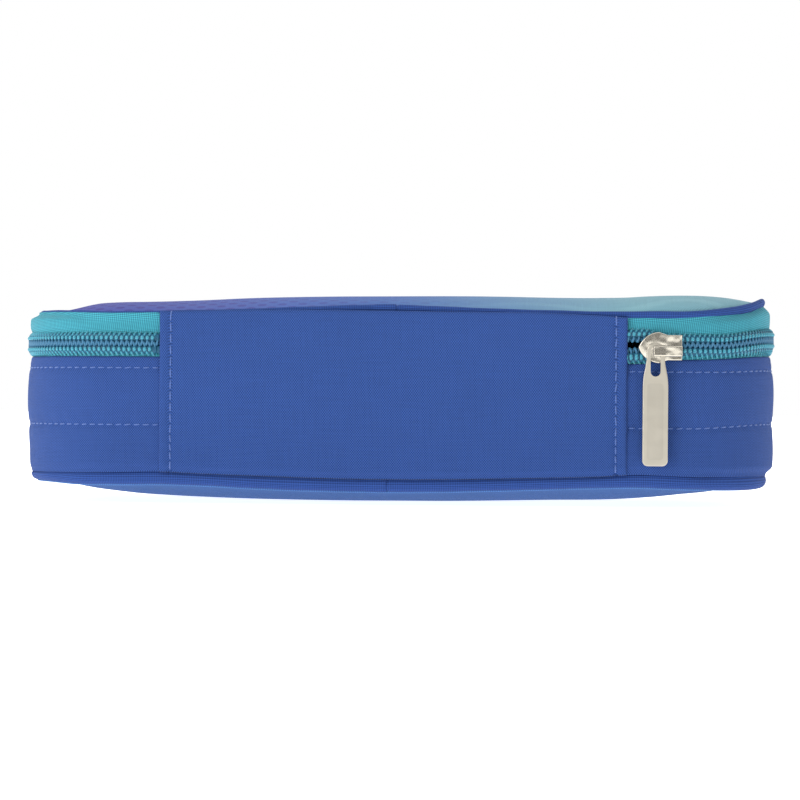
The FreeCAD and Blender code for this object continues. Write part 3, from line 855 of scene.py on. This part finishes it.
low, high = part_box("hinge_interlining")
inner_x = steps(low.x, high.x, 2 * MM)
pad_section = rounded_band(FOAM_IN, -0.15 * MM, low.z, high.z - 3.4 * MM, 0.4 * MM)
pad_x = steps(low.x + 3 * MM, high.x - 3 * MM, 2 * MM)
hinge_pad = band("hinge_interlining_pad", pad_x, pad_section, settle_panel)
finish_piece(hinge_pad, "base", "foam_grey", foam, "hinge_interlining")
section = lining_section(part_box("hinge_lining")[0].z - 1.6 * MM, high.z - 1.4 * MM)
hinge_lining = band("hinge_lining_cloth", inner_x, section, settle_panel, bulge=lining_bulge)
finish_piece(hinge_lining, "base", "lining_grey", lining_cloth, "hinge_lining")


# ---------------------------------------------------------------- piping


def piping_radius(s, radius, seam):
    """The bias strip's join is a shallow notch with a thicker overlap beside it. The strip is a little
    uneven, and fuller round the slider's end."""
    if seam is None:
        return radius + 0 * s
    d = s - seam
    notch = -0.3 * MM * np.exp(-((d / (0.35 * MM)) ** 2))
    overlap = 0.12 * MM * rise(d, -6.5, -5.5) * rise(-d, -0.2, 0.3)
    uneven = 0.035 * MM * np.sin(s * 190) + 0.03 * MM * np.sin(s * 431 + 1)
    return radius + notch + overlap + uneven + 0.3 * MM * rise(outline(s)[0], 84, 98)


def piping(name, z, radius, seam, settle, inset, sides):
    """A round strip along the outline. inset(x) is how far it is drawn in, and seam is where its ends are
    joined, if they show."""
    s = steps(-PERIMETER / 2, PERIMETER / 2, 1.1 * MM)[:-1]
    if seam is not None:
        s = np.unique(np.concatenate([s, np.arange(-9, 4, 0.16) * MM + seam]))
    angle = np.linspace(0, 2 * math.pi, sides, endpoint=False)
    r = piping_radius(s, radius, seam)[:, None]
    out = r * np.cos(angle) - inset(outline(s)[0])[:, None]
    height = z + r * np.sin(angle)
    points = settle(place(s[:, None] + 0 * out, out, height))
    uv = np.stack([s[:, None] + 0 * out, radius * angle[None, :] + 0 * out], axis=-1).reshape(-1, 2)
    faces = grid_faces(len(s), sides, close_rows=True)
    return add_mesh(name, points.reshape(-1, 3), faces, uv, wrap=(PERIMETER, 2 * math.pi * radius))


for end, z, radius, seam, settle, inset in (
    ("lid", LID_PIPING_Z, LID_PIPING_R, 1.0 * MM, settle_lid, lid_inset),
    ("base", BASE_PIPING_Z, PIPING_R, -1.4 * MM, settle_base, base_inset),
):
    cover = piping(f"{end}_piping_cover_cloth", z, radius, seam, settle, inset, 18)
    finish_piece(cover, end, "piping_blue", piping_cloth, f"{end}_piping_cover")
    core = piping(f"{end}_piping_cord_core", z, 0.8 * MM, None, settle, inset, 10)
    finish_piece(core, end, "cord_white", cord, f"{end}_piping_cord")


# A thin fold of cloth along the base's seam, with a painted highlight in its colour.
seam_fold = piping("base_seam_fold_strip", BASE_PIPING_Z - PIPING_R - 0.06 * MM, 0.32 * MM, None, settle_base,
                   lambda x: base_inset(x) + 0.25 * MM, 8)
finish_piece(seam_fold, "base", "base_blue", fold_highlight_cloth)


# ---------------------------------------------------------------- padded panels


PANEL_POINTS, LINING_POINTS, PAD_POINTS = 340, 260, 200  # round one ring
RINGS = np.concatenate([np.linspace(0.0, 0.8, 15)[:-1], np.linspace(0.8, 1.0, 12)])


def disc(per_ring, inset, height, reach=1.0):
    """A panel of the outline's shape, in rings from its middle line out to its rim, or to a share (reach) of
    the way. inset(x) is how far the rim is drawn in, and height(f, x, y) is the panel's face, where f is 0 on
    the middle line and 1 on the rim."""
    s = np.linspace(0, PERIMETER, per_ring, endpoint=False)
    edge = place(s, -inset(outline(s)[0]), 0)[:, :2]
    middle = edge.copy()
    middle[:, 0] = np.clip(edge[:, 0], -(HALF_LENGTH - HALF_WIDTH), HALF_LENGTH - HALF_WIDTH)
    middle[:, 1] = 0
    points = []
    for f in RINGS * reach:
        x, y = (middle + (edge - middle) * f).T
        points.append(np.column_stack([x + lean(x), y, height(f, x, y)]))
    return np.concatenate(points), grid_faces(len(RINGS), per_ring)


def close_middle(obj):
    """Joins the two sides of a panel where they meet on its middle line."""
    work = bmesh.new()
    work.from_mesh(obj.data)
    bmesh.ops.remove_doubles(work, verts=work.verts, dist=0.02 * MM)
    bmesh.ops.recalc_face_normals(work, faces=work.faces)
    work.to_mesh(obj.data)
    work.free()


def face_object(name, per_ring, inset, height, up):
    """A cloth panel's outer face, which looks up or down."""
    points, faces = disc(per_ring, inset, height)
    obj = add_mesh(name, points, faces, points[:, :2])
    close_middle(obj)
    if (obj.data.polygons[len(obj.data.polygons) // 2].normal.z > 0) != up:
        obj.data.flip_normals()
    return obj


def apply_modifiers(obj):
    view = bpy.context.evaluated_depsgraph_get()
    shaped = obj.evaluated_get(view)
    mesh = bpy.data.meshes.new_from_object(shaped, preserve_all_data_layers=True, depsgraph=view)
    obj.modifiers.clear()
    obj.data = mesh


def thicken(obj, thickness):
    solid = obj.modifiers.new("cloth", "SOLIDIFY")
    solid.thickness = thickness
    solid.offset = -1
    apply_modifiers(obj)


def inflate(obj, pressure, cap):
    """Cloth simulation: the panel is held at its rim and its padding presses it out, at most by cap."""
    start = np.array([v.co for v in obj.data.vertices])
    work = bmesh.new()
    work.from_mesh(obj.data)
    rim = [v.index for v in work.verts if v.is_boundary]
    work.free()
    pins = obj.vertex_groups.new(name="rim")
    pins.add(rim, 1.0, "REPLACE")
    cloth = obj.modifiers.new("cloth", "CLOTH")
    settings = cloth.settings
    settings.vertex_group_mass = "rim"
    settings.quality = 6
    settings.mass = 0.15
    settings.tension_stiffness = 25
    settings.compression_stiffness = 12
    settings.bending_stiffness = 2.0
    settings.use_pressure = True
    settings.uniform_pressure_force = pressure
    settings.effector_weights.gravity = 0
    for frame_number in range(1, 21):
        bpy.context.scene.frame_set(frame_number)
    view = bpy.context.evaluated_depsgraph_get()
    moved = np.array([v.co for v in obj.evaluated_get(view).data.vertices]) - start
    length = np.linalg.norm(moved, axis=1, keepdims=True)
    moved *= np.minimum(1, cap / np.maximum(length, 1e-9))
    obj.modifiers.clear()
    obj.vertex_groups.clear()
    obj.data.vertices.foreach_set("co", (start + moved).astype(np.float32).ravel())
    bpy.context.scene.frame_set(1)


LID_RIM_Z = LID_PIPING_Z + 0.35 * MM


def lid_rim(x):
    return lid_inset(x) + 0.85 * MM


def base_rim(x):
    return base_inset(x) + 0.9 * MM


def lid_height(f, x, y):
    """A padded dome, fuller at the slider's end: steep at the rim and flat in the middle."""
    fuller = rise(x, 40, 80)
    share = (1 - f ** (3.4 + 2.6 * fuller)) ** (0.8 - 0.2 * fuller)
    rim = LID_RIM_Z + rim_dz(x)
    wobble = 0.10 * np.sin(x * 52 + 1) * np.sin(y * 71) + 0.07 * np.sin(x * 117 + y * 60)
    return rim + share * (spline(x, TOP_X, TOP_Z) - 0.5 * MM - rim + wobble * MM)


lid_panel = face_object("lid_panel_cloth", PANEL_POINTS, lid_rim, lid_height, True)
inflate(lid_panel, 0.6, 0.4 * MM)
thicken(lid_panel, CLOTH)
finish_piece(lid_panel, "lid", "lid_print", lid_cloth, "lid_panel")

BASE_RIM_Z = BASE_PIPING_Z - 0.5 * MM


def base_height(f, x, y):
    """The underside: a soft belly that rises towards the piping."""
    rim = BASE_RIM_Z + base_dz(x, BASE_RIM_Z)
    share = (1 - f**2.3) ** 0.8
    return rim + share * (spline(x, BELLY_X, BELLY_Z) - rim)


base_panel = face_object("base_panel_cloth", PANEL_POINTS, base_rim, base_height, False)
thicken(base_panel, CLOTH)
finish_piece(base_panel, "base", "base_blue", base_cloth, "base_panel")


def pad_object(name, inset, top, bottom, reach):
    """A closed pad between two faces of the outline's shape."""
    upper, faces = disc(PAD_POINTS, inset, top, reach)
    lower, _ = disc(PAD_POINTS, inset, bottom, reach)
    count = len(upper)
    faces = faces + [tuple(count + k for k in reversed(f)) for f in faces]
    last = count - PAD_POINTS
    for j in range(PAD_POINTS):
        k = (j + 1) % PAD_POINTS
        faces.append((last + j, last + k, count + last + k, count + last + j))
    points = np.concatenate([upper, lower])
    obj = add_mesh(name, points, faces, points[:, :2])
    close_middle(obj)
    return obj


LID_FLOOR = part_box("lid_foam")[0].z - 0.1 * MM


def lid_floor(f, x, y):
    return LID_FLOOR + rim_dz(x) * (0.3 + 0.7 * smooth((f - 0.2) / 0.8))


def lid_pad_top(f, x, y):
    return lid_height(f, x, y) - CLOTH - 0.35 * MM


lid_pad = pad_object("lid_foam_pad", lid_rim, lid_pad_top, lid_floor, 0.94)
finish_piece(lid_pad, "lid", "foam_grey", foam, "lid_foam")

BOARD_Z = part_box("base_board")[0].z
BOARD_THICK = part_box("base_board")[1].z - BOARD_Z


def board_low(f, x, y):
    """The board's underside. Its ends bend up with the base."""
    return np.maximum(BOARD_Z, base_height(f, x, y) + CLOTH + 0.25 * MM)


def board_top(f, x, y):
    return board_low(f, x, y) + BOARD_THICK


base_pad = pad_object("base_foam_pad", base_rim, lambda f, x, y: board_low(f, x, y) - 0.05 * MM,
                      lambda f, x, y: base_height(f, x, y) + CLOTH + 0.1 * MM, 0.93)
finish_piece(base_pad, "base", "foam_grey", foam, "base_foam")
bent_board = pad_object("base_board_sheet", base_rim, board_top, board_low, 0.92)
finish_piece(bent_board, "base", "board_white", board, "base_board")


def lining_sheet(name, inset, height, body, node, up):
    obj = face_object(name, LINING_POINTS, lambda x: inset + 0 * x, height, up)
    thicken(obj, LINING)
    finish_piece(obj, body, "lining_grey", lining_cloth, node)
    return obj


def soft_waves(x, y):
    slow, quick = np.sin(x * 33 + y * 41), np.sin(x * 80 + 2 * np.sin(y * 60)) * np.sin(y * 95 + 1)
    return 0.16 * MM * (quick + 0.6 * slow)


def lid_lining_height(f, x, y):
    return lid_floor(f, x, y) - 0.25 * MM - 0.8 * MM * (1 - f**3) + soft_waves(x, y) * (1 - f)


BASE_LINING_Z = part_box("base_lining")[0].z


def base_lining_height(f, x, y):
    flat = BASE_LINING_Z + 0.9 * MM + 0.4 * MM * (1 - f**3)
    return np.maximum(flat, board_top(f, x, y) + 0.5 * MM) + soft_waves(x, y) * (1 - f)


lining_sheet("lid_lining_cloth", 4.6 * MM, lid_lining_height, "lid", "lid_lining", False)
lining_sheet("base_lining_cloth", 3.35 * MM, base_lining_height, "base", "base_lining", True)


# ---------------------------------------------------------------- inside seam bindings


def binding(node, body, low_z, high_z, out_high, settle):
    section = rounded_band(out_high - 1.1 * MM, out_high, low_z, high_z, 0.45 * MM, faces_up=10)
    obj = band(f"{node}_strip", ring_s, section, settle, True,
               lambda s, z: 0.08 * MM * np.sin(s * 300) + 0.1 * MM * np.sin(s * 87))
    finish_piece(obj, body, "binding_grey", binding_cloth, node)


low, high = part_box("base_seam_binding")
binding("base_seam_binding", "base", low.z, high.z, LINING_IN - 0.15 * MM, settle_base)
low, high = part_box("lid_seam_binding")
binding("lid_seam_binding", "lid", low.z - 1.2 * MM, high.z, -5.0 * MM, settle_lid)


# ---------------------------------------------------------------- zip


def bend_with_lid(obj):
    """The tape's upper edge is sewn to the lid. Bakes the piece's transform and works out how far each point
    would follow the lid: not at all low down beside the hinge panel, fully at the tape's upper edge and from
    the corners on. The weights are not used."""
    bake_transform(obj)
    co = np.zeros(len(obj.data.vertices) * 3, np.float32)
    obj.data.vertices.foreach_get("co", co)
    x, y, z = np.abs(co[0::3]), co[1::3], co[2::3]
    along = np.where(x < S_CORNER, x, S_CORNER + CORNER_R * np.arctan2(x - STRAIGHT_X, -STRAIGHT_Y - y))
    free = smooth((along - S_PANEL) / (S_CORNER + 14 * MM - S_PANEL))
    sewn = smooth((z - ZIP_Z - 4 * MM) / (LID_PIPING_Z - ZIP_Z - 5.5 * MM))
    weight = np.where(y > -STRAIGHT_Y, 1.0, 1 - (1 - free) * (1 - sewn))


TAPE_OUT, TAPE_IN = -0.75 * MM, -1.15 * MM
ZIP_TUCK = 1.4 * MM  # the zip runs on under the hinge panel
zip_s = steps(S_PANEL - ZIP_TUCK, PERIMETER - S_PANEL + ZIP_TUCK, 0.8 * MM)


def upper_tape_bulge(s, z):
    """Full between the chain and the piping, then drawn in to the piping."""
    x = outline(s)[0]
    left = plain_end(x)
    t = np.clip((z - ZIP_Z - 2 * MM) / (LID_PIPING_Z - ZIP_Z - 2 * MM), 0, 1)
    full = 0.35 * np.sin(math.pi * t) * MM + 0.06 * MM * np.sin(s * 120 + z * 200)
    full = full + 0.5 * MM * left * smooth(t / 0.4)
    edge = 2.1 * MM - lid_inset(x) - 0.5 * MM * rise(x, -60, 60) - 0.5 * MM * left
    shoulder = 0.6 + 0.18 * left
    return full + edge * smooth((t - shoulder) / (1 - shoulder)) ** 1.4


section = rounded_band(TAPE_IN, TAPE_OUT, ZIP_Z + 1.3 * MM, LID_PIPING_Z + 0.6 * MM, 0.15 * MM,
                       corner_steps=3, faces_up=20)
upper_tape = band("zip_tape_upper_cloth", zip_s, section, settle_upper_zip, bulge=upper_tape_bulge)
finish_piece(upper_tape, None, "tape_teal", tape_cloth, "zip_tape_upper")
ZIP_LENGTH = PERIMETER - 2 * S_PANEL + 2 * ZIP_TUCK

low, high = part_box("zip_tape_lower")
section = rounded_band(TAPE_IN, TAPE_OUT - 0.1 * MM, low.z, high.z, 0.12 * MM, corner_steps=3, faces_up=8)
lower_tape = band("zip_tape_lower_cloth", zip_s, section, settle_base)
finish_piece(lower_tape, "base", "tape_teal", tape_cloth, "zip_tape_lower")

COIL_MIDDLE_OUT = 0.025 * MM
HEAD = 0.75 * MM  # how far each coil's turns reach past the centre line
COIL_HEIGHT = 2.72 * MM  # from the centre line to a coil's far edge
SPREAD = 1.35 * MM  # how far each coil is off the centre line where the zip is parted


def spread_at(x, y):
    """How far each coil is pushed off the centre line: only between the hinge panel and the slider."""
    on_hinge_side = (y < -HALF_WIDTH + 2 * MM) & (x > 0)
    return np.where(on_hinge_side, SPREAD * rise(SLIDER_MIDDLE - x, -0.5, 4.0), 0.0)


def coil_points(s, out, up, side):
    """Places points of one coil: up is the distance from the centre line."""
    x, y, _, _ = outline(s)
    return settle_base(place(s, out, ZIP_Z + side * (up + spread_at(x, y))))


TURNS = int((ZIP_LENGTH - 1 * MM) / COIL_PITCH)
POINTS_PER_TURN = 14
FILAMENT_SIDES = 7
CORE_SIDES = 10


def first_turn(side):
    """The two coils are half a pitch apart, so that they lock into each other."""
    return S_PANEL - ZIP_TUCK + 0.5 * MM + (0.5 * COIL_PITCH if side > 0 else 0.0)


def coil_piece(name, side):
    """One coil: a filament wound in flat turns round a cord. Its heads reach past the centre line."""
    t = np.arange(TURNS * POINTS_PER_TURN) / POINTS_PER_TURN
    angle = 2 * math.pi * t
    half = (COIL_HEIGHT + HEAD) / 2 - 0.36 * MM
    middle = (COIL_HEIGHT - HEAD) / 2
    s = first_turn(side) + COIL_PITCH * (t + 0.12 * np.sin(angle))
    up = middle - half * np.cos(angle)
    out = COIL_MIDDLE_OUT - 0.05 * MM + 0.36 * MM * np.sign(np.sin(angle)) * np.abs(np.sin(angle)) ** 0.7
    path = coil_points(s, out, up, side)
    _, _, nx, ny = outline(s)
    sideways = np.stack([-ny, nx, 0 * nx], axis=-1)
    head = np.exp(-(((up + HEAD - 0.36 * MM) / (0.8 * MM)) ** 2))
    filament = tube(path, sideways, (0.31 + 0.1 * head) * MM, sides=FILAMENT_SIDES)
    filament_uv = np.stack([np.repeat(s, FILAMENT_SIDES), np.repeat(up, FILAMENT_SIDES)], axis=-1)
    s = steps(zip_s[0] + 0.3 * MM, zip_s[-1] - 0.3 * MM, 0.7 * MM)[:, None]
    ring = np.linspace(0, 2 * math.pi, CORE_SIDES, endpoint=False)
    core_up = 1.66 * MM + 0.98 * MM * np.cos(ring)
    core = coil_points(s + 0 * ring, 0.22 * MM * np.sin(ring) + 0 * s, core_up + 0 * s, side).reshape(-1, 3)
    core_uv = np.stack([s + 0 * ring, np.maximum(core_up, 1 * MM) + 0 * s], axis=-1).reshape(-1, 2)
    core_faces = grid_faces(len(s), CORE_SIDES, ends=True)
    return add_mesh(name, *gather([filament, (core, core_faces)]), np.concatenate([filament_uv, core_uv]))


def strands(side, path_s, path_up, path_out, width, thickness, sides=8):
    """One strand of sewing thread on every turn of a coil, along a path that is given in millimetres."""
    path_s, path_up, path_out, width = (np.asarray(v) * MM for v in (path_s, path_up, path_out, width))
    run, rise = np.gradient(path_s), np.gradient(path_up)
    length = np.hypot(run, rise)
    ring = np.linspace(0, 2 * math.pi, sides, endpoint=False)
    turn_s = first_turn(side) + COIL_PITCH * (np.arange(TURNS - 1) + 0.25)
    turn_s = turn_s + 0.03 * MM * rng.standard_normal(len(turn_s))
    s = (path_s[:, None] - (rise / length * width)[:, None] * np.cos(ring)).ravel()
    up = (path_up[:, None] + (run / length * width)[:, None] * np.cos(ring)).ravel()
    out = (path_out[:, None] + (width * thickness)[:, None] * np.sin(ring)).ravel()
    s = turn_s[:, None] + s
    points = coil_points(s, out + 0 * s, up + 0 * s, side)
    tube_path = np.stack([0 * path_s, path_up, path_s], axis=-1)
    _, faces = tube(tube_path, np.array([1.0, 0, 0]), 1.0, sides)
    if side > 0:
        faces = [tuple(reversed(face)) for face in faces]
    around = np.tile(ring / (2 * math.pi), len(path_s))
    twist = np.stack([np.repeat(np.cumsum(length), sides), around], axis=-1)
    return (*copies(faces, list(points)), np.tile(twist, (len(turn_s), 1)))


def chain_thread_piece(side):
    """What sews a coil to its tape: a fat loop over every turn, and a thinner strand that slants from it."""
    t = np.linspace(0, 1, 9)
    arch = np.sin(math.pi * (0.06 + 0.88 * t)) ** 0.6
    loop = strands(side, 0.12 + 0.14 * (t - 0.5), 0.95 + 1.2 * t, 0.16 + 0.3 * arch, 0.12 + 0.37 * arch, 0.85)
    slanted = strands(side, 0.3 + 0.95 * t, 1.95 + 1.2 * t, 0.24 - 0.8 * t**2, 0.1 + 0.17 * arch, 1.0, 6)
    points, faces = gather([loop[:2], slanted[:2]])
    uv = np.concatenate([loop[2], slanted[2]])
    return add_mesh(f"zip_sewing_thread_{'upper' if side > 0 else 'lower'}", points, faces, uv)


upper_coil = coil_piece("zip_coil_upper_filament", 1)
finish_piece(upper_coil, None, "coil_teal", coil_nylon, "zip_coil_upper")
finish_piece(chain_thread_piece(1), None, "tape_teal", chain_thread)
finish_piece(coil_piece("zip_coil_lower_filament", -1), "base", "coil_teal", coil_nylon, "zip_coil_lower")
finish_piece(chain_thread_piece(-1), "base", "tape_teal", chain_thread)


# ---------------------------------------------------------------- floor, light and camera


def stage_material():
    """A light table: it glows, so that there is almost no shadow under the case."""
    n = Surface("light table", 0.9)
    white = n.mix(n.noise(n.place(), 30, 2.0), srgb(250, 250, 250), srgb(254, 254, 254))
    for key, value in (("Base Color", white), ("Emission Color", white), ("Emission Strength", 0.9)):
        feed(n.inputs[key], value)
    return n.material


FLOOR_HALF, FLOOR_Z = 6, -0.2 * MM
floor_corners = [(x * FLOOR_HALF, y * FLOOR_HALF, FLOOR_Z) for x, y in ((-1, -1), (1, -1), (1, 1), (-1, 1))]
floor = add_mesh("studio_floor", floor_corners, [(0, 1, 2, 3)])
use(floor, stage_material())


def studio_world():
    """White all round, dimmer towards the front, with a dark patch low in front for the metal to reflect."""
    world = bpy.data.worlds.new("studio")
    world.use_nodes = True
    n = Nodes(world.node_tree)
    toward = Signal(n.node("ShaderNodeTexCoord").outputs["Generated"])
    x, y, _ = n.split(toward)
    front = n.ramp(y, -0.1, -0.8, 1.0, n.ramp(x, -0.8, 0.8, 0.62, 0.3))
    patch_centre = (0.1, -0.97, -0.22)
    distance = n.node("ShaderNodeVectorMath", (0, toward), (1, patch_centre), operation="DISTANCE")
    patch = n.ramp(Signal(distance.outputs["Value"]), 0.18, 0.42, 0.08, 1.0)
    background = n.tree.nodes["Background"]
    feed(background.inputs["Strength"], front * patch)
    feed(background.inputs["Color"], (1, 1, 1, 1))
    return world


bpy.context.scene.world = studio_world()


def area_light(name, place_at, aim, size, power):
    data = bpy.data.lights.new(name, "AREA")
    data.shape = "RECTANGLE"
    data.size, data.size_y = size
    data.energy = power
    lamp = bpy.data.objects.new(name, data)
    lamp.location = place_at
    lamp.rotation_euler = (Vector(aim) - Vector(place_at)).to_track_quat("-Z", "Y").to_euler()
    bpy.context.scene.collection.objects.link(lamp)


area_light("key", (-0.5, -0.55, 0.35), (0, 0, 0.03), (0.4, 0.4), 2.6)
area_light("top", (0, 0.1, 1.2), (0, 0, 0.03), (1.2, 0.8), 2)

EYE_HEIGHT = LID_TOP / 2 - 0.27 * MM
DISTANCE = 0.948
YAW, ROLL = math.radians(2.4), math.radians(0.42)
camera_data = bpy.data.cameras.new("camera")
camera_data.lens = 148.9
camera_data.sensor_width = 36
camera = bpy.data.objects.new("camera", camera_data)
camera.location = (DISTANCE * math.sin(YAW), -DISTANCE * math.cos(YAW), EYE_HEIGHT)
camera.rotation_euler = (Matrix.Rotation(YAW, 3, "Z") @ Matrix.Rotation(math.pi / 2, 3, "X")
                         @ Matrix.Rotation(ROLL, 3, "Z")).to_euler()
bpy.context.scene.collection.objects.link(camera)
bpy.context.scene.camera = camera
bpy.context.scene.view_settings.view_transform = "Standard"
